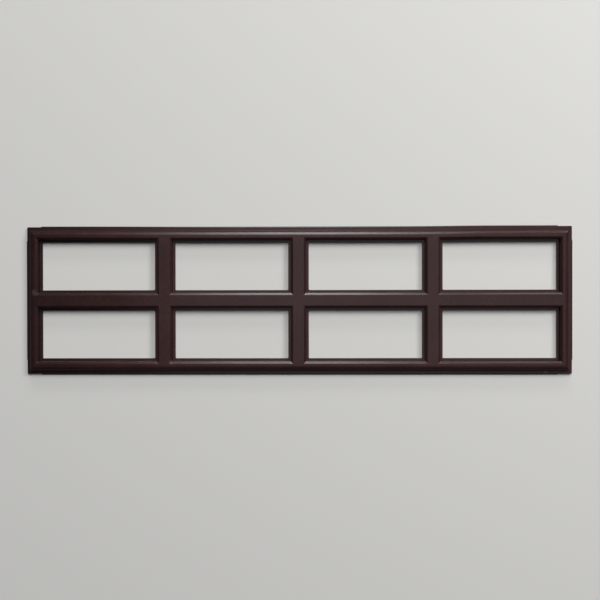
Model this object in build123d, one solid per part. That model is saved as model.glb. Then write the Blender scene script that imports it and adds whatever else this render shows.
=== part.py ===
from build123d import *
import math
import os

# Garage door window insert, moulded in one piece from brown plastic, in millimetres.
# X is its width, Z its height and the front faces -Y. The origin is the middle of the back
# seating plane. It is drawn lying on that plane, front upwards, and stood up at the end.

# Openings and bars
columns = 4
rows = 2
pane_width = 207.8
pane_height = 87.7
pane_corner_radius = 1.8
bar_width = 37.6
stile_width = 29.5
rail_width = 30.0
depth = 15.0

# Section of a bar, from the edge of a pane inwards: a flat foot, a steep step, then a bevel
foot_width = 4.4
foot_thickness = 3.0
edge_break = 0.5
step_draft = 5.0
step_round = 1.0
bevel_run = 3.6
bevel_slope = 35.0
crown_round = 1.8

# Outer side of the border: a lip that snaps into the window frame, a flange and a rounded slope
lip_reach = 1.3
lip_thickness = 1.8
lip_lead_in = 0.7
lip_relief = 27.0
flange_width = 6.3
flange_corner_radius = 1.5
outer_draft = 15.0
outer_round = 9.0

# Hollow back
wall = 2.4
rib_thickness = 1.8
rib_setback = 1.0
ribs_per_column = 3
ribs_per_row = 1

width = columns * pane_width + (columns - 1) * bar_width + 2 * stile_width
height = rows * pane_height + (rows - 1) * bar_width + 2 * rail_width
pane_pitch_x = pane_width + bar_width
pane_pitch_z = pane_height + bar_width
step_slant = math.radians(step_draft)
bevel_slant = math.radians(bevel_slope)
outer_slant = math.radians(outer_draft)
step_top = depth - bevel_run * math.tan(bevel_slant)
panes = GridLocations(pane_pitch_x, pane_pitch_z, columns, rows)


def pocket_profile(pane_size, inset):
    """Section of the space round a pane, across one of its sizes: a steep step, then a bevel.

    Inset moves the whole section into the bars by one even thickness. The skin, which has none,
    is rounded where the step meets the bevel and where the bevel meets the crown."""
    half = pane_size / 2
    step_foot = half + foot_width - foot_thickness * math.tan(step_slant) + inset / math.cos(step_slant)
    step_run = (step_top - foot_thickness) * math.tan(step_slant)
    crown_edge = half + foot_width + step_run + bevel_run + inset * math.tan(bevel_slant / 2)
    crown_level = depth - inset
    break_level = crown_edge - step_foot - crown_level / math.tan(bevel_slant)
    break_level /= math.tan(step_slant) - 1 / math.tan(bevel_slant)
    break_edge = step_foot + break_level * math.tan(step_slant)
    margin = crown_edge + 2 * crown_round
    right = [
        (step_foot, 0),
        (break_edge, break_level),
        (crown_edge, crown_level),
        (margin, crown_level),
        (margin, crown_level + depth),
    ]
    left = [(-x, y) for x, y in reversed(right)]
    section = make_face(Polyline(*right, *left, close=True))
    if inset > 0:
        return section
    breaks = section.vertices().filter_by_position(Axis.Y, break_level, break_level)
    section = fillet(breaks, step_round)
    crowns = section.vertices().filter_by_position(Axis.Y, crown_level, crown_level)
    crowns = crowns.filter_by(lambda corner: abs(corner.X) < crown_edge + crown_round / 2)
    return fillet(crowns, crown_round)


def pane_pocket(inset):
    """The mitred space round one pane, where its section across meets its section up and down."""
    across = extrude(Plane.XZ * pocket_profile(pane_width, inset), pane_height, both=True)
    up_and_down = extrude(Plane.YZ * pocket_profile(pane_height, inset), pane_width, both=True)
    return across & up_and_down


def raised_form(inset):
    """Border and bars as a solid. Inset shrinks it evenly, from the outer skin to the hollow."""
    reach = flange_width - foot_thickness * math.tan(outer_slant) + inset / math.cos(outer_slant)
    footprint = Rectangle(width - 2 * reach, height - 2 * reach)
    block = extrude(footprint, depth - inset, taper=outer_draft)
    block = fillet(block.faces().sort_by(Axis.Z)[-1].edges(), outer_round - inset)
    pocket = pane_pocket(inset)
    return block - [place * pocket for place in panes]


def seat():
    """The flat plate that lies on the glass or the door: flange, feet and the lip that snaps in."""
    flange_outline = Rectangle(width - 2 * lip_reach, height - 2 * lip_reach)
    flange = extrude(fillet(flange_outline.vertices(), flange_corner_radius), foot_thickness)
    lip_outline = Rectangle(width - 2 * lip_relief, height) + Rectangle(width, height - 2 * lip_relief)
    lip = extrude(lip_outline, lip_thickness)
    lip_front = lip.edges().filter_by_position(Axis.Z, lip_thickness, lip_thickness)
    tips = [edge for edge in lip_front if edge.length > 2 * lip_relief]
    lip = chamfer(tips, lip_lead_in)
    opening = RectangleRounded(pane_width, pane_height, pane_corner_radius)
    plate = flange + lip - [place * extrude(opening, depth) for place in panes]
    front = plate.faces().sort_by(Axis.Z)[-1]
    return chamfer(front.edges(), edge_break)


def ribs(form):
    """Cross ribs in every bar, and an X where two bars cross, cut to the form they stiffen."""
    rib_height = depth - rib_setback
    middle = rib_setback + rib_height / 2
    across_rails = Box(rib_thickness, height, rib_height)
    across_uprights = Box(width, rib_thickness, rib_height)
    column_step = pane_width / (ribs_per_column + 1)
    row_step = pane_height / (ribs_per_row + 1)
    diagonal = Box(rib_thickness, 2 * bar_width, rib_height)
    strips = []
    for column in GridLocations(pane_pitch_x, 0, columns, 1):
        strips += [column * spot * across_rails for spot in GridLocations(column_step, 0, ribs_per_column, 1)]
    for row in GridLocations(0, pane_pitch_z, 1, rows):
        strips += [row * spot * across_uprights for spot in GridLocations(0, row_step, 1, ribs_per_row)]
    for crossing in GridLocations(pane_pitch_x, pane_pitch_z, columns - 1, rows - 1):
        strips += [crossing * Rot(0, 0, turn) * diagonal for turn in (45, -45)]
    return [Pos(0, 0, middle) * strip & form for strip in strips]


hollow = raised_form(wall)
insert = seat() + raised_form(0) - hollow + ribs(hollow)
insert = Rot(90, 0, 0) * insert
insert.label = "window_insert"

os.makedirs("parts", exist_ok=True)
export_step(insert, "parts/window_insert.step")
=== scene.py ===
import math
import bmesh
import bpy
from mathutils import Matrix, Vector, noise


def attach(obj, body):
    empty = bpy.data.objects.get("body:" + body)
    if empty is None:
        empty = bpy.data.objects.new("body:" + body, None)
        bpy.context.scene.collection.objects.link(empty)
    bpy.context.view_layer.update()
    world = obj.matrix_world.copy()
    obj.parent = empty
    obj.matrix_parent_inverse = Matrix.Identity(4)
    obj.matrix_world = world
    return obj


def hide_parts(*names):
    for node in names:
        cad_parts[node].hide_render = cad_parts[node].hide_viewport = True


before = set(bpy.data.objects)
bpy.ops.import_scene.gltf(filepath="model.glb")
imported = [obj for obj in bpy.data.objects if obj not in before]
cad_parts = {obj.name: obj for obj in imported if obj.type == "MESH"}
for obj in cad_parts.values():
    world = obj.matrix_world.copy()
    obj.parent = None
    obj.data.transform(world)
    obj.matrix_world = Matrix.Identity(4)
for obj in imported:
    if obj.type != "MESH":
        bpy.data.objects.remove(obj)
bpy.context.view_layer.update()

# Camera. It stands 1.6 m in front of the insert, a little right of the middle and level with it. It is
# turned, dipped and rolled by under a degree, and its lens takes in the full width of 1003 mm.
camera_distance = 1.6
camera_side_step = 0.0246
camera_height = 0.0
camera_turn = math.radians(0.785)
camera_dip = math.radians(0.330)
camera_roll = math.radians(-0.084)

lens = bpy.data.cameras.new("camera")
lens.sensor_fit = "HORIZONTAL"
lens.sensor_width = 36.0
lens.lens = 52.17
lens.shift_y = 0.0087
camera = bpy.data.objects.new("camera", lens)
camera.matrix_world = (
    Matrix.Translation((camera_side_step, -camera_distance, camera_height))
    @ Matrix.Rotation(camera_turn, 4, "Z")
    @ Matrix.Rotation(math.radians(90) - camera_dip, 4, "X")
    @ Matrix.Rotation(camera_roll, 4, "Z")
)
bpy.context.scene.collection.objects.link(camera)
bpy.context.scene.camera = camera


# Front of the insert. Border, three mullions and middle rail are one injection moulding in dark brown
# plastic. Round each pane run a foot, a steep step and a bevel, mitred in the corners, and the border
# rounds off outwards to a flat flange. The back is hollow, with an even wall.
columns, rows = 4, 2
pane_width, pane_height = 0.2078, 0.0877
bar_width, stile_width, rail_width = 0.0376, 0.0295, 0.0300
depth, wall = 0.0150, 0.0024
foot_width, foot_thickness, flange_width = 0.0044, 0.0030, 0.0063
lip_reach, lip_thickness, lip_lead_in, lip_relief = 0.0013, 0.0018, 0.0007, 0.0270
edge_break, back_edge_break = 0.0005, 0.0002
step_round, crown_round, outer_round = 0.0010, 0.0018, 0.0090
# The border's own section begins this far in from the outer edge. The bars' section runs up to there.
seam = 0.0182
inside = depth - wall
width = columns * pane_width + (columns - 1) * bar_width + 2 * stile_width
height = rows * pane_height + (rows - 1) * bar_width + 2 * rail_width

# Each row is one corner of a section: how far it lies from the pane's edge, or out from the seam, how far
# in front of the seating plane, and its radius. Then come the radius of the pane's corner along that
# line, and how much the line wears and gathers dust.
bar_section = [
    (bar_width / 2, depth, 0, 0, 0, 0),  # middle of the crown
    (0.0100, depth, 0, 0, 0, 0),
    (0.00883, depth, crown_round, 0.0004, 1, 0),  # crown's edge
    (0.0078, 0.01428, 0, 0.0004, 0, 0),  # two points on the bevel, which keep its wear to its edges
    (0.0064, 0.0133, 0, 0.0005, 0, 0),
    (0.00523, 0.01248, step_round, 0.0006, 0.6, 0),  # top of the step
    (0.00505, 0.0105, 0, 0.0007, 0, 0),
    (foot_width, foot_thickness, 0, 0.0009, 0, 0.4),  # foot of the step
    (0.0, foot_thickness, edge_break, 0.0018, 0.5, 0),  # pane's edge, front and back
    (0.0, 0.0, back_edge_break, 0.0018, 0, 0),
    (0.00655, 0.0, back_edge_break, 0.0020, 0, 0),  # up into the hollow
    (0.00752, 0.01116, 0, 0.0015, 0, 0.3),
    (0.00959, inside, 0, 0.0008, 0, 0.5),
    (bar_width / 2, inside, 0, 0, 0, 0),
]
border_section = [
    (0, depth, 0, 0, 0, 0),
    (seam - 0.00952, depth, outer_round, 0.0010, 0.5, 0),  # broad outer round
    (seam - flange_width, foot_thickness, 0, 0.0012, 0, 0.3),  # flange
    (seam - lip_reach, foot_thickness, edge_break, 0.0015, 0.6, 0),
    (seam - lip_reach, 0.0, back_edge_break, 0.0015, 0, 0),
    (seam - 0.00798, 0.0, back_edge_break, 0.0010, 0, 0),  # up into the hollow
    (seam - 0.01136, inside, 0.0066, 0.0006, 0, 0.4),
    (0, inside, 0, 0, 0, 0),
]


def arc_points(before, corner, after, radius, steps):
    """The points of a section's rounded corner, between the two straight runs that meet in it."""
    to_before = (before - corner).normalized()
    to_after = (after - corner).normalized()
    half_angle = to_before.angle(to_after) / 2
    centre = corner + (to_before + to_after).normalized() * radius / math.sin(half_angle)
    start = corner + to_before * radius / math.tan(half_angle) - centre
    end = corner + to_after * radius / math.tan(half_angle) - centre
    sweep = start.angle_signed(end)
    return [centre + Matrix.Rotation(-sweep * step / steps, 2) @ start for step in range(steps + 1)]


def section_points(corners):
    """A section as a fine line of points, each with its pane corner radius, wear and dust."""
    large_radius, steps_in_large, steps_in_small = 0.0025, 8, 4
    line = []
    for place, (reach, level, radius, *marks) in enumerate(corners):
        corner = Vector((reach, level))
        if radius == 0:
            line.append((corner, marks))
            continue
        before, after = (Vector(corners[place + side][:2]) for side in (-1, 1))
        steps = steps_in_large if radius > large_radius else steps_in_small
        line += [(point, marks) for point in arc_points(before, corner, after, radius, steps)]
    return line


def drawn_sections(name, sections):
    """One mesh with every section as a line of edges, marked for the sweeps that follow them."""
    mesh = bpy.data.meshes.new(name)
    points, edges, marks, parts = [], [], [], []
    for part, corners in enumerate(sections):
        line = section_points(corners)
        first = len(points)
        points += [(point.x, point.y, 0) for point, _ in line]
        marks += [mark for _, mark in line]
        parts += [part] * len(line)
        edges += [(first + step, first + step + 1) for step in range(len(line) - 1)]
    mesh.from_pydata(points, edges, [])
    for place, label in enumerate(("pane_round", "edge_wear", "dust_trap")):
        mesh.attributes.new(label, "FLOAT", "POINT").data.foreach_set("value", [mark[place] for mark in marks])
    mesh.attributes.new("border", "FLOAT", "POINT").data.foreach_set("value", parts)
    piece = bpy.data.objects.new(name, mesh)
    bpy.context.scene.collection.objects.link(piece)
    return piece


def put(tree, kind, fed=None, **settings):
    """Places a node in a tree, with its settings, and feeds its sockets from values or other nodes."""
    made = tree.nodes.new(kind)
    for name, value in settings.items():
        setattr(made, name, value)
    for socket, value in (fed or {}).items():
        if isinstance(value, bpy.types.NodeSocket):
            tree.links.new(value, made.inputs[socket])
        else:
            made.inputs[socket].default_value = value
    return made


def sums(tree, operation, *values):
    """The result of one step of arithmetic on numbers."""
    return put(tree, "ShaderNodeMath", dict(enumerate(values)), operation=operation).outputs[0]


def moves(tree, operation, *values):
    """The result of one step of arithmetic on places or directions."""
    return put(tree, "ShaderNodeVectorMath", dict(enumerate(values)), operation=operation).outputs[0]


def new_tree(name, inputs, outputs=(("Geometry", "Geometry"),)):
    """A geometry tree with named inputs, given as name and kind, and its first and last nodes."""
    tree = bpy.data.node_groups.new(name, "GeometryNodeTree")
    for label, kind in inputs:
        tree.interface.new_socket(label, in_out="INPUT", socket_type="NodeSocket" + kind)
    for label, kind in outputs:
        tree.interface.new_socket(label, in_out="OUTPUT", socket_type="NodeSocket" + kind)
    tree.is_modifier = True
    return tree, put(tree, "NodeGroupInput").outputs, put(tree, "NodeGroupOutput")


def mitred_sweep_tree():
    """Sweeps a section round a rectangle with true mitres, and rounds each line by its own radius."""
    tree, given, result = new_tree("mitred sweep", [
        ("Path", "Geometry"), ("Section", "Geometry"), ("Half Width", "Float"), ("Half Height", "Float"),
        ("Corner Steps", "Int"),
    ])
    close = 0.00001
    half = put(tree, "ShaderNodeCombineXYZ", {"X": given["Half Width"], "Z": given["Half Height"]}).outputs[0]
    almost = moves(tree, "SUBTRACT", half, (close, close, close))

    def on_side(place):
        over = moves(tree, "SUBTRACT", moves(tree, "ABSOLUTE", place), almost)
        return moves(tree, "MAXIMUM", moves(tree, "SIGN", over), (0, 0, 0))

    position = put(tree, "GeometryNodeInputPosition").outputs[0]
    place = moves(tree, "MULTIPLY", position, (1, 0, 1))
    side = on_side(place)
    sides = put(tree, "ShaderNodeSeparateXYZ", {0: side}).outputs
    corner = sums(tree, "MULTIPLY", sides["X"], sides["Z"])
    kept = put(tree, "GeometryNodeCaptureAttribute", {"Geometry": given["Path"]})
    kept.capture_items.new("FLOAT", "corner")
    tree.links.new(corner, kept.inputs[1])
    path = put(tree, "GeometryNodeSubdivideCurve", {
        "Curve": kept.outputs[0], "Cuts": sums(tree, "MULTIPLY", corner, given["Corner Steps"])}).outputs[0]

    nearness = kept.outputs[1]
    at_corner = sums(tree, "GREATER_THAN", nearness, 0.02)
    parts = sums(tree, "DIVIDE", sums(tree, "ADD", given["Corner Steps"], 1.0), given["Corner Steps"])
    turned = sums(tree, "MULTIPLY", sums(tree, "SUBTRACT", 1.0, nearness), parts)
    count = put(tree, "GeometryNodeAttributeDomainSize", {0: path}, component="CURVE").outputs["Point Count"]
    index = put(tree, "GeometryNodeInputIndex").outputs[0]
    following = sums(tree, "MODULO", sums(tree, "ADD", index, 1.0), count)
    ahead = put(tree, "GeometryNodeFieldAtIndex", data_type="FLOAT_VECTOR", domain="POINT")
    tree.links.new(place, ahead.inputs["Value"])
    tree.links.new(following, ahead.inputs["Index"])
    towards_rail = put(tree, "ShaderNodeSeparateXYZ", {0: on_side(ahead.outputs[0])}).outputs["Z"]
    signed = sums(tree, "SUBTRACT", sums(tree, "MULTIPLY", towards_rail, 2.0), 1.0)
    quarter = sums(tree, "ADD", sums(tree, "MULTIPLY", turned, signed), sums(tree, "SUBTRACT", 1.0, towards_rail))
    angle = sums(tree, "MULTIPLY", quarter, math.pi / 2)
    ways = moves(tree, "SIGN", place)
    spread = put(tree, "ShaderNodeCombineXYZ", {
        "X": sums(tree, "COSINE", angle), "Z": sums(tree, "SINE", angle)}).outputs[0]

    def either(plain, cornered):
        mixed = put(tree, "ShaderNodeMix", data_type="VECTOR")
        tree.links.new(at_corner, mixed.inputs["Factor"])
        tree.links.new(plain, mixed.inputs[4])
        tree.links.new(cornered, mixed.inputs[5])
        return mixed.outputs[1]

    outward = moves(tree, "MULTIPLY", ways, side)
    held = put(tree, "GeometryNodeCaptureAttribute", {"Geometry": path})
    for number, (label, value) in enumerate((
        ("start", either(place, moves(tree, "MULTIPLY", ways, half))),
        ("mitre", either(outward, ways)),
        ("round", either(outward, moves(tree, "MULTIPLY", ways, spread))),
    ), 1):
        held.capture_items.new("VECTOR", label)
        tree.links.new(value, held.inputs[number])

    drawn = put(tree, "GeometryNodeCaptureAttribute", {"Geometry": given["Section"]})
    drawn.capture_items.new("VECTOR", "drawn")
    tree.links.new(position, drawn.inputs[1])
    drawn.capture_items.new("FLOAT", "pane round")
    pane_round = put(tree, "GeometryNodeInputNamedAttribute", {"Name": "pane_round"}, data_type="FLOAT")
    tree.links.new(pane_round.outputs[0], drawn.inputs[2])
    swept = put(tree, "GeometryNodeCurveToMesh", {"Curve": held.outputs[0], "Profile Curve": drawn.outputs[0]})
    line = put(tree, "ShaderNodeSeparateXYZ", {0: drawn.outputs[1]}).outputs
    straight = moves(tree, "SCALE", held.outputs[2])
    tree.links.new(sums(tree, "SUBTRACT", line["X"], drawn.outputs[2]), straight.node.inputs["Scale"])
    curved = moves(tree, "SCALE", held.outputs[3])
    tree.links.new(drawn.outputs[2], curved.node.inputs["Scale"])
    forward = put(tree, "ShaderNodeCombineXYZ", {"Y": sums(tree, "MULTIPLY", line["Y"], -1.0)}).outputs[0]
    spot = moves(tree, "ADD", moves(tree, "ADD", held.outputs[1], straight), moves(tree, "ADD", curved, forward))
    shaped = put(tree, "GeometryNodeSetPosition", {"Geometry": swept.outputs[0], "Position": spot})
    tree.links.new(shaped.outputs[0], result.inputs[0])
    return tree


def moulding_tree():
    """Sweeps the bar section round a pane, repeats it, joins the bars and sweeps the border round them."""
    tree, given, result = new_tree("insert moulding", [
        ("Geometry", "Geometry"), ("Pane Width", "Float"), ("Pane Height", "Float"), ("Bar Width", "Float"),
        ("Columns", "Int"), ("Rows", "Int"), ("Half Width To Seam", "Float"), ("Half Height To Seam", "Float"),
        ("Cuts", "Int"), ("Corner Steps", "Int"), ("Plastic", "Material"),
    ])
    close = 0.00001
    border = put(tree, "GeometryNodeInputNamedAttribute", {"Name": "border"}, data_type="FLOAT").outputs[0]
    split = put(tree, "GeometryNodeSeparateGeometry", {
        "Geometry": given["Geometry"], "Selection": border}, domain="POINT").outputs
    outer_line = put(tree, "GeometryNodeMeshToCurve", {0: split["Selection"]}).outputs[0]
    bar_line = put(tree, "GeometryNodeMeshToCurve", {0: split["Inverted"]}).outputs[0]

    outline = put(tree, "GeometryNodeCurvePrimitiveQuadrilateral", {
        "Width": given["Pane Width"], "Height": given["Pane Height"]}).outputs[0]
    stood = put(tree, "GeometryNodeTransform", {0: outline, "Rotation": (math.pi / 2, 0, 0)}).outputs[0]
    fine = put(tree, "GeometryNodeSubdivideCurve", {"Curve": stood, "Cuts": given["Cuts"]}).outputs[0]
    sweep = mitred_sweep_tree()
    pane = put(tree, "GeometryNodeGroup", node_tree=sweep)
    for label, value in (
        ("Path", fine), ("Section", bar_line), ("Corner Steps", given["Corner Steps"]),
        ("Half Width", sums(tree, "MULTIPLY", given["Pane Width"], 0.5)),
        ("Half Height", sums(tree, "MULTIPLY", given["Pane Height"], 0.5)),
    ):
        tree.links.new(value, pane.inputs[label])

    across = sums(tree, "SUBTRACT", given["Columns"], 1.0)
    up = sums(tree, "SUBTRACT", given["Rows"], 1.0)
    spots = put(tree, "GeometryNodeMeshGrid", {
        "Size X": sums(tree, "MULTIPLY", across, sums(tree, "ADD", given["Pane Width"], given["Bar Width"])),
        "Size Y": sums(tree, "MULTIPLY", up, sums(tree, "ADD", given["Pane Height"], given["Bar Width"])),
        "Vertices X": given["Columns"], "Vertices Y": given["Rows"]}).outputs[0]
    upright = put(tree, "GeometryNodeTransform", {0: spots, "Rotation": (math.pi / 2, 0, 0)}).outputs[0]
    faced = put(tree, "GeometryNodeFlipFaces", {0: pane.outputs[0]}).outputs[0]
    panes = put(tree, "GeometryNodeInstanceOnPoints", {"Points": upright, "Instance": faced}).outputs[0]
    bars = put(tree, "GeometryNodeRealizeInstances", {0: panes}).outputs[0]
    position = put(tree, "GeometryNodeInputPosition").outputs[0]
    limit = put(tree, "ShaderNodeCombineXYZ", {
        "X": given["Half Width To Seam"], "Y": 1.0, "Z": given["Half Height To Seam"]}).outputs[0]
    lowest = moves(tree, "MULTIPLY", limit, (-1, -1, -1))
    trimmed = moves(tree, "MINIMUM", moves(tree, "MAXIMUM", position, lowest), limit)
    cut = put(tree, "GeometryNodeSetPosition", {"Geometry": bars, "Position": trimmed}).outputs[0]
    grid = put(tree, "GeometryNodeMergeByDistance", {"Geometry": cut, "Distance": close}).outputs[0]

    loose = put(tree, "GeometryNodeInputMeshEdgeNeighbors").outputs[0]
    rim = sums(tree, "LESS_THAN", loose, 1.5)
    ahead = put(tree, "ShaderNodeSeparateXYZ", {0: position}).outputs["Y"]
    in_crown = sums(tree, "LESS_THAN", ahead, -(depth - wall / 2))
    front_rim = sums(tree, "MULTIPLY", rim, in_crown)
    path = put(tree, "GeometryNodeMeshToCurve", {0: grid, "Selection": front_rim}).outputs[0]
    around = put(tree, "GeometryNodeGroup", node_tree=sweep)
    for label, value in (
        ("Path", path), ("Section", outer_line), ("Corner Steps", given["Corner Steps"]),
        ("Half Width", given["Half Width To Seam"]), ("Half Height", given["Half Height To Seam"]),
    ):
        tree.links.new(value, around.inputs[label])
    both = put(tree, "GeometryNodeJoinGeometry")
    tree.links.new(grid, both.inputs[0])
    tree.links.new(around.outputs[0], both.inputs[0])
    welded = put(tree, "GeometryNodeMergeByDistance", {"Geometry": both.outputs[0], "Distance": close}).outputs[0]
    real = put(tree, "GeometryNodeRealizeInstances", {0: welded}).outputs[0]
    finished = put(tree, "GeometryNodeSetMaterial", {"Geometry": real, "Material": given["Plastic"]}).outputs[0]
    tree.links.new(finished, result.inputs[0])
    return tree


def give(modifier, values):
    """Sets a modifier's named inputs by their identifiers."""
    for item in modifier.node_group.interface.items_tree:
        if item.item_type == "SOCKET" and item.in_out == "INPUT" and item.name in values:
            modifier[item.identifier] = values[item.name]


def made_plain(piece):
    """Turns what a piece's modifiers make into its own mesh."""
    ready = bpy.context.evaluated_depsgraph_get()
    mesh = bpy.data.meshes.new_from_object(
        piece.evaluated_get(ready), preserve_all_data_layers=True, depsgraph=ready)
    piece.modifiers.clear()
    piece.data = mesh
    return piece


plastic = bpy.data.materials.new("brown_moulded_plastic")
plastic.use_nodes = True
cuts_per_side, steps_per_corner = 15, 4
seam_x, seam_z = width / 2 - seam, height / 2 - seam
insert = drawn_sections("insert_moulding", [bar_section, border_section])
sweep = insert.modifiers.new("insert moulding", "NODES")
sweep.node_group = moulding_tree()
give(sweep, {
    "Pane Width": pane_width, "Pane Height": pane_height, "Bar Width": bar_width,
    "Columns": columns, "Rows": rows, "Half Width To Seam": seam_x, "Half Height To Seam": seam_z,
    "Cuts": cuts_per_side, "Corner Steps": steps_per_corner, "Plastic": plastic,
})
made_plain(insert)


# Ribs in the hollow back, and the lip round the edge. They are part of the same moulding: thin cross
# ribs that brace the bars, an X where two bars cross, and a lip that snaps into the window frame and
# stops short of each corner.
rib_thickness, rib_set_back, ribs_per_column = 0.0018, 0.0010, 3
# Ribs and lip run this far into the wall that they stand on.
root = 0.0004
inside_top = inside + root
lip_back = 0.00005
bar_rib = [(0.0127, rib_set_back), (0.0117, 0.0112), (0.0096, inside_top)]
bar_rib += [(-across, level) for across, level in reversed(bar_rib)]
crossing_rib = [(across * math.sqrt(2), level) for across, level in bar_rib]
border_rib = [
    (0.01035, rib_set_back), (0.00854, 0.0078), (0.00714, 0.0105), (0.00474, 0.01234),
    (0.00178, inside_top), (-0.0025, inside_top), (-0.0046, 0.0112), (-0.0055, rib_set_back),
]
lip = [
    (-lip_reach - root, lip_back), (-lip_reach - root, lip_thickness), (-lip_lead_in, lip_thickness),
    (0, lip_thickness - lip_lead_in), (0, lip_back),
]


def plate_tree():
    """Gives a drawn plate its thickness, turns it and repeats it over rows and columns."""
    tree, given, result = new_tree("plates", [
        ("Geometry", "Geometry"), ("Thickness", "Float"), ("Steps", "Int"), ("Turn", "Float"),
        ("Columns", "Int"), ("Rows", "Int"), ("Column Pitch", "Float"), ("Row Pitch", "Float"),
        ("Middle", "Vector"), ("Plastic", "Material"),
    ])
    outline = put(tree, "GeometryNodeMeshToCurve", {0: given["Geometry"]}).outputs[0]
    half = sums(tree, "MULTIPLY", given["Thickness"], 0.5)
    ends = [put(tree, "ShaderNodeCombineXYZ", {"Z": end}).outputs[0]
            for end in (sums(tree, "MULTIPLY", half, -1.0), half)]
    line = put(tree, "GeometryNodeCurvePrimitiveLine", {"Start": ends[0], "End": ends[1]}).outputs[0]
    stepped = put(tree, "GeometryNodeSubdivideCurve", {"Curve": line, "Cuts": given["Steps"]}).outputs[0]
    position = put(tree, "GeometryNodeInputPosition").outputs[0]
    drawn, along = [], []
    for geometry, kept in ((outline, drawn), (stepped, along)):
        capture = put(tree, "GeometryNodeCaptureAttribute", {"Geometry": geometry})
        capture.capture_items.new("VECTOR", "place")
        tree.links.new(position, capture.inputs[1])
        kept += [capture.outputs[0], put(tree, "ShaderNodeSeparateXYZ", {0: capture.outputs[1]}).outputs]
    solid = put(tree, "GeometryNodeCurveToMesh", {
        "Curve": along[0], "Profile Curve": drawn[0], "Fill Caps": True}).outputs[0]
    spot = put(tree, "ShaderNodeCombineXYZ", {
        "X": along[1]["Z"], "Y": sums(tree, "MULTIPLY", drawn[1]["Y"], -1.0), "Z": drawn[1]["X"]}).outputs[0]
    plate = put(tree, "GeometryNodeSetPosition", {"Geometry": solid, "Position": spot}).outputs[0]
    turn = put(tree, "ShaderNodeCombineXYZ", {"Y": given["Turn"]}).outputs[0]
    turned = put(tree, "GeometryNodeTransform", {0: plate, "Rotation": turn}).outputs[0]
    spots = put(tree, "GeometryNodeMeshGrid", {
        "Size X": sums(tree, "MULTIPLY", sums(tree, "SUBTRACT", given["Columns"], 1.0), given["Column Pitch"]),
        "Size Y": sums(tree, "MULTIPLY", sums(tree, "SUBTRACT", given["Rows"], 1.0), given["Row Pitch"]),
        "Vertices X": given["Columns"], "Vertices Y": given["Rows"]}).outputs[0]
    upright = put(tree, "GeometryNodeTransform", {
        0: spots, "Rotation": (math.pi / 2, 0, 0), "Translation": given["Middle"]}).outputs[0]
    repeated = put(tree, "GeometryNodeInstanceOnPoints", {"Points": upright, "Instance": turned}).outputs[0]
    real = put(tree, "GeometryNodeRealizeInstances", {0: repeated}).outputs[0]
    finished = put(tree, "GeometryNodeSetMaterial", {"Geometry": real, "Material": given["Plastic"]}).outputs[0]
    tree.links.new(finished, result.inputs[0])
    return tree


plates = plate_tree()


def moulded_plates(name, outline, thickness, turn, columns=1, rows=1, pitch=(0, 0), middle=(0, 0), steps=0):
    """One kind of rib or lip, repeated over the moulding."""
    mesh = bpy.data.meshes.new(name)
    corners = len(outline)
    edges = [(at, (at + 1) % corners) for at in range(corners)]
    mesh.from_pydata([(*corner, 0) for corner in outline], edges, [])
    piece = bpy.data.objects.new(name, mesh)
    bpy.context.scene.collection.objects.link(piece)
    repeat = piece.modifiers.new("plates", "NODES")
    repeat.node_group = plates
    give(repeat, {
        "Thickness": thickness, "Turn": turn, "Columns": columns, "Rows": rows, "Column Pitch": pitch[0],
        "Row Pitch": pitch[1], "Middle": (middle[0], 0, middle[1]), "Steps": steps, "Plastic": plastic,
    })
    return made_plain(piece)


quarter = math.pi / 2
pane_pitch_x, pane_pitch_z = pane_width + bar_width, pane_height + bar_width
rib_step = pane_width / (ribs_per_column + 1)
by_column, by_row = (pane_pitch_x, 0), (0, pane_pitch_z)
# The lip is cut into steps, so that it can follow the sag and the waves of the moulding.
stile_lip_steps, rail_lip_steps = 20, 90
added = [moulded_plates(
    "mullion_ribs", bar_rib, rib_thickness, quarter, columns - 1, rows, (pane_pitch_x, pane_pitch_z))]
for side in (-1, 0, 1):
    along = side * rib_step
    for name, outline, turn, level in (
        ("middle_rail_ribs", bar_rib, 0, 0),
        ("top_rail_ribs", border_rib, 0, seam_z),
        ("bottom_rail_ribs", border_rib, 2 * quarter, -seam_z),
    ):
        added.append(moulded_plates(name, outline, rib_thickness, turn, columns, 1, by_column, (along, level)))
for side in (-1, 1):
    added += [
        moulded_plates(
            "crossing_ribs", crossing_rib, rib_thickness, side * quarter / 2, columns - 1, 1, by_column),
        moulded_plates(
            "stile_ribs", border_rib, rib_thickness, side * quarter, 1, rows, by_row, (side * seam_x, 0)),
        moulded_plates(
            "stile_lip", lip, height - 2 * lip_relief, side * quarter,
            middle=(side * width / 2, 0), steps=stile_lip_steps),
        moulded_plates(
            "rail_lip", lip, width - 2 * lip_relief, (1 - side) * quarter,
            middle=(0, side * height / 2), steps=rail_lip_steps),
    ]

# The whole moulding in one. Front, ribs and lip come out of the mould as a single piece of plastic. Its
# long top rail sags a little in the middle, and its faces have the slight waves of a thin moulding.
sag = 0.0010
sag_begins, sag_ends = (-0.44, -0.14), (0.20, 0.35)
wave_height, waves_across, waves_up = 0.00022, 14, 22
waves_from, waves_full = 0.0032, 0.0110
sharp_angle = math.radians(48)


def eased(value, low, high):
    """Nought below low, one above high, and a smooth rise between."""
    part = min(max((value - low) / (high - low), 0), 1)
    return part * part * (3 - 2 * part)


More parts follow.
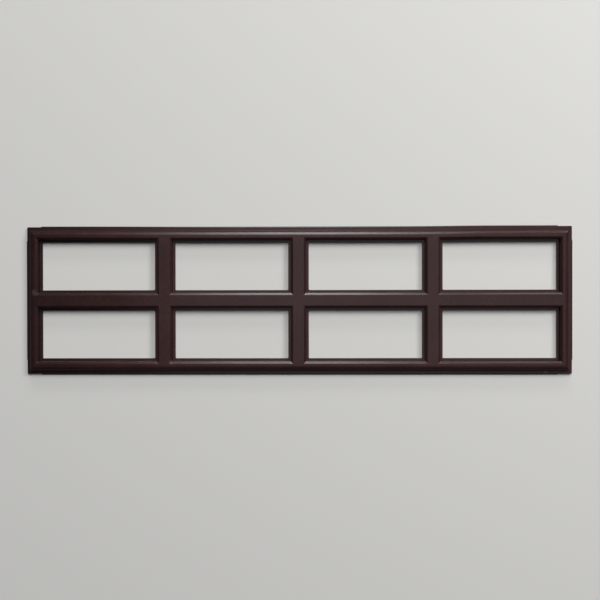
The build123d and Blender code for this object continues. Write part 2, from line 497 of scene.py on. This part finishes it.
body = bmesh.new()
for piece in (insert, *added):
    body.from_mesh(piece.data)
for piece in added:
    bpy.data.objects.remove(piece)
for vertex in body.verts:
    x, y, z = vertex.co
    across = eased(x, *sag_begins) * (1 - eased(x, *sag_ends))
    hang = across * eased(z, pane_pitch_z / 2, rail_width + pane_height)
    vertex.co.z -= sag * hang
    swell = noise.noise(Vector((x * waves_across, 0, z * waves_up))) * 0.5 + 0.5
    vertex.co.y += wave_height * swell * eased(-y, waves_from, waves_full)
for face in body.faces:
    face.material_index = 0
body.normal_update()
body.to_mesh(insert.data)
body.free()
insert.data.materials.clear()
insert.data.materials.append(plastic)
insert.data.shade_smooth()
insert.data.set_sharp_from_angle(angle=sharp_angle)
even = insert.modifiers.new("even normals", "WEIGHTED_NORMAL")
even.keep_sharp = True
even.weight = 60
made_plain(insert)

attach(insert, "root")
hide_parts("window_insert")


# Finish of the moulding. Brown plastic, coloured through, with a fine moulded grain and a satin sheen.
# The colour drifts a little, and it is darkened towards the left end as painted shade, where the light falls off.
# Edges and two spots are rubbed paler, three paler spots at mitred corners of the bottom rail's bevel are painted
# highlights, and dust lies on what faces up and in the foot of each step.
grain_size, grain_depth = 0.0009, 0.0002
deep_brown, warm_brown = (0.0385, 0.0130, 0.0127, 1), (0.0465, 0.0173, 0.0170, 1)
left_end_painted_shade, left_end_from, left_end_to = (0.66, 0.72, 0.72, 1), -0.28, -0.50
rubbed_and_glint_brown, dust_colour = (0.120, 0.092, 0.088, 1), (0.100, 0.085, 0.078, 1)
most_rubbed, most_dust = 0.16, 0.15
smoothest, dullest = 0.22, 0.26
# Each mark is the place of its middle and its size. The first and the last are rubbed scuffs; the three between,
# at mitred corners of the bottom rail's bevel, are painted highlights.
scuffs_and_painted_glints = [
    (-0.4820, -0.0150, 0.0149, 0.0035),
    (-0.2600, -0.0138, -0.1137, 0.0022),
    (-0.2340, -0.0138, -0.1137, 0.0024),
    (-0.0150, -0.0138, -0.1140, 0.0018),
    (0.4535, -0.0030, -0.1320, 0.0030),
]


def grain_group():
    """Fine moulded grain as a height, with a slow drift of colour beside it."""
    group = bpy.data.node_groups.new("moulded grain", "ShaderNodeTree")
    group.interface.new_socket("Grain Size", in_out="INPUT", socket_type="NodeSocketFloat")
    group.interface.new_socket("Height", in_out="OUTPUT", socket_type="NodeSocketFloat")
    group.interface.new_socket("Drift", in_out="OUTPUT", socket_type="NodeSocketFloat")
    given = put(group, "NodeGroupInput").outputs
    result = put(group, "NodeGroupOutput")
    place = put(group, "ShaderNodeTexCoord").outputs["Object"]
    per_metre = sums(group, "DIVIDE", 1.0, given["Grain Size"])
    pits = put(group, "ShaderNodeTexVoronoi", {"Vector": place, "Scale": per_metre}).outputs["Distance"]
    swirl = put(group, "ShaderNodeTexNoise", {
        "Vector": place, "Scale": sums(group, "MULTIPLY", per_metre, 0.45), "Detail": 3.0}).outputs[0]
    drift = put(group, "ShaderNodeTexNoise", {"Vector": place, "Scale": 16.0, "Detail": 4.0}).outputs[0]
    relief = sums(group, "ADD", sums(group, "MULTIPLY", pits, 0.5), swirl)
    group.links.new(relief, result.inputs["Height"])
    group.links.new(drift, result.inputs["Drift"])
    return group


def mixed(tree, kind, share, low, high):
    """One colour turning into another, or one layer over another, by a share."""
    made = put(tree, "ShaderNodeMix", data_type="RGBA", blend_type=kind)
    for socket, value in ((0, share), (6, low), (7, high)):
        if isinstance(value, bpy.types.NodeSocket):
            tree.links.new(value, made.inputs[socket])
        else:
            made.inputs[socket].default_value = value
    return made.outputs[2]


def spread(tree, value, low, high, least=0.0, most=1.0):
    """A value's range from low to high, turned into a range from least to most."""
    return put(tree, "ShaderNodeMapRange", {
        "Value": value, "From Min": low, "From Max": high, "To Min": least, "To Max": most}).outputs[0]


look = plastic.node_tree
surface = look.nodes["Principled BSDF"]
grain = put(look, "ShaderNodeGroup", {"Grain Size": grain_size}, node_tree=grain_group())
place = put(look, "ShaderNodeTexCoord").outputs["Object"]
brown = mixed(look, "MIX", spread(look, grain.outputs["Drift"], 0.35, 0.65), deep_brown, warm_brown)
mottle = put(look, "ShaderNodeTexNoise", {"Vector": place, "Scale": 240.0, "Detail": 5.0}).outputs[0]
brown = mixed(look, "MULTIPLY", 1.0, brown, put(look, "ShaderNodeCombineColor", {
    channel: spread(look, mottle, 0.3, 0.7, 0.88, 1.12) for channel in ("Red", "Green", "Blue")}).outputs[0])
along = put(look, "ShaderNodeSeparateXYZ", {0: place}).outputs["X"]
# Painted shade: the brown is darkened towards the left end, where the light on it falls off.
brown = mixed(look, "MULTIPLY", spread(look, along, left_end_from, left_end_to), brown, left_end_painted_shade)

rubbed_edge = put(look, "ShaderNodeAttribute", attribute_name="edge_wear").outputs["Fac"]
rub = put(look, "ShaderNodeTexNoise", {
    "Vector": place, "Scale": 95.0, "Detail": 6.0, "Roughness": 0.7}).outputs[0]
wear_and_painted_glints = sums(look, "MULTIPLY", rubbed_edge, spread(look, rub, 0.54, 0.74, 0.0, most_rubbed))
# Rubbed edges and scuffs turn the brown paler, and so do the painted highlights at three mitred corners of the
# bottom rail's bevel.
for x, y, z, size in scuffs_and_painted_glints:
    away = put(look, "ShaderNodeVectorMath", {0: place, 1: (x, y, z)}, operation="DISTANCE").outputs["Value"]
    near = spread(look, away, size * 2.2, size * 0.6)
    scuff_and_glint = sums(look, "MULTIPLY", near, spread(look, rub, 0.42, 0.60, 0.0, 0.8))
    wear_and_painted_glints = sums(look, "MAXIMUM", wear_and_painted_glints, scuff_and_glint)
brown = mixed(look, "MIX", wear_and_painted_glints, brown, rubbed_and_glint_brown)

trap = put(look, "ShaderNodeAttribute", attribute_name="dust_trap").outputs["Fac"]
settled = put(look, "ShaderNodeTexNoise", {
    "Vector": place, "Scale": 38.0, "Detail": 7.0, "Roughness": 0.65}).outputs[0]
facing = put(look, "ShaderNodeNewGeometry").outputs["Normal"]
upward = put(look, "ShaderNodeSeparateXYZ", {0: facing}).outputs["Z"]
lying = sums(look, "ADD", sums(look, "MULTIPLY", trap, 0.5), spread(look, upward, 0.3, 1.0, 0.0, 0.2))
dust = sums(look, "MULTIPLY", lying, spread(look, settled, 0.45, 0.75, 0.0, most_dust))
brown = mixed(look, "MIX", dust, brown, dust_colour)
look.links.new(brown, surface.inputs["Base Color"])
sheen = spread(look, mottle, 0.3, 0.7, smoothest, dullest)
sheen = sums(look, "ADD", sheen, sums(look, "MULTIPLY", dust, 0.4))
look.links.new(sheen, surface.inputs["Roughness"])
grained = put(look, "ShaderNodeBump", {
    "Height": grain.outputs["Height"], "Strength": 0.18, "Distance": grain_depth}).outputs[0]
look.links.new(grained, surface.inputs["Normal"])


# Backdrop and floor of the studio: a plain pale wall that the flat back hangs against, with the floor
# below. Both throw back less light than they show, so that the shaded sides stay dark. From behind, the
# wall lets the camera and the light through, so that the back is seen.
wall_gap, wall_top, floor_level, reach = 0.0012, 3.0, -0.72, 5.0
pale_wall, wall_to_the_plastic = (0.835, 0.83, 0.802, 1), (0.22, 0.22, 0.21, 1)
pale_floor, floor_to_the_plastic = (0.30, 0.298, 0.288, 1), (0.04, 0.04, 0.04, 1)


def studio_sheet(name, corners, colour):
    """A flat matt sheet of the studio, from its four corners. Returns its material's tree too."""
    paint = bpy.data.materials.new(name)
    paint.use_nodes = True
    matt = paint.node_tree.nodes["Principled BSDF"]
    matt.inputs["Base Color"].default_value = colour
    matt.inputs["Roughness"].default_value = 0.9
    matt.inputs["Specular IOR Level"].default_value = 0.1
    mesh = bpy.data.meshes.new(name)
    mesh.from_pydata(corners, [], [(0, 1, 2, 3)])
    mesh.materials.append(paint)
    sheet = bpy.data.objects.new(name, mesh)
    bpy.context.scene.collection.objects.link(sheet)
    return paint.node_tree, matt.outputs[0]


def blended(tree, share, first, second):
    """Ends a material or the world in two surfaces, mixed by a share."""
    both = put(tree, "ShaderNodeMixShader", {0: share, 1: first, 2: second}).outputs[0]
    end = [node for node in tree.nodes if node.bl_idname.startswith("ShaderNodeOutput")][0]
    tree.links.new(both, end.inputs["Surface"])


wall_tree, wall_paint = studio_sheet("pale_wall", [
    (-reach, wall_gap, floor_level), (reach, wall_gap, floor_level),
    (reach, wall_gap, wall_top), (-reach, wall_gap, wall_top),
], pale_wall)
behind = put(wall_tree, "ShaderNodeNewGeometry").outputs["Backfacing"]
ray = put(wall_tree, "ShaderNodeLightPath").outputs
dim = put(wall_tree, "ShaderNodeBsdfDiffuse", {"Color": wall_to_the_plastic}).outputs[0]
front = put(wall_tree, "ShaderNodeMixShader", {0: ray["Is Camera Ray"], 1: dim, 2: wall_paint}).outputs[0]
clear = put(wall_tree, "ShaderNodeBsdfTransparent").outputs[0]
blended(wall_tree, sums(wall_tree, "MAXIMUM", behind, ray["Is Shadow Ray"]), front, clear)

# The floor also shows a plain tone of its own, so that its far end doesn't fall off into the dark.
floor_tree, floor_paint = studio_sheet("pale_floor", [
    (-reach, -reach, floor_level), (reach, -reach, floor_level),
    (reach, reach, floor_level), (-reach, reach, floor_level),
], pale_floor)
floor_paint.node.inputs["Emission Color"].default_value = pale_floor
floor_paint.node.inputs["Emission Strength"].default_value = 1.0
dim = put(floor_tree, "ShaderNodeBsdfDiffuse", {"Color": floor_to_the_plastic}).outputs[0]
seen = put(floor_tree, "ShaderNodeLightPath").outputs["Is Camera Ray"]
blended(floor_tree, seen, dim, floor_paint)


# Lamps and air of the studio. The flats mirror the room glow, the bevels that face up mirror the
# overhead lamps, and the top's outer round mirrors the front panel. The back has a panel of its own.
def lamp(name, place, size, power, towards=(0, 0, 0)):
    """A soft white rectangular lamp that shines towards a point and isn't itself seen."""
    light = bpy.data.lights.new(name, "AREA")
    light.shape = "RECTANGLE"
    light.size, light.size_y = size
    light.energy = power
    stand = bpy.data.objects.new(name, light)
    stand.location = place
    stand.rotation_euler = (Vector(towards) - Vector(place)).to_track_quat("-Z", "Y").to_euler()
    stand.visible_camera = False
    bpy.context.scene.collection.objects.link(stand)


lamp("front_panel", (0.00, -9.60, 7.20), (2.8, 8.6), 670.0)
lamp("right_front_lamp", (2.40, -2.30, 2.00), (1.0, 1.0), 58.0)
lamp("room_glow", (0.38, -3.00, 0.03), (2.4, 1.2), 4.4)
lamp("overhead_lamp", (-0.09, -1.68, 4.62), (1.3, 0.7), 35.0)
lamp("right_overhead_lamp", (1.45, -1.35, 3.70), (0.8, 0.6), 6.0, towards=(0.3, 0, 0))
lamp("back_panel", (-0.5, 2.4, 1.2), (1.6, 1.0), 70.0)

air_light, air_strength, backdrop_tone = (0.97, 0.98, 1.0, 1), 0.05, (0.80, 0.80, 0.79, 1)
world = bpy.data.worlds.new("studio")
bpy.context.scene.world = world
world.use_nodes = True
sky = world.node_tree
air = sky.nodes["Background"]
air.inputs["Color"].default_value = air_light
air.inputs["Strength"].default_value = air_strength
backdrop = put(sky, "ShaderNodeBackground", {"Color": backdrop_tone, "Strength": 1.0}).outputs[0]
blended(sky, put(sky, "ShaderNodeLightPath").outputs["Is Camera Ray"], air.outputs[0], backdrop)

bpy.context.scene.view_settings.view_transform = "Standard"
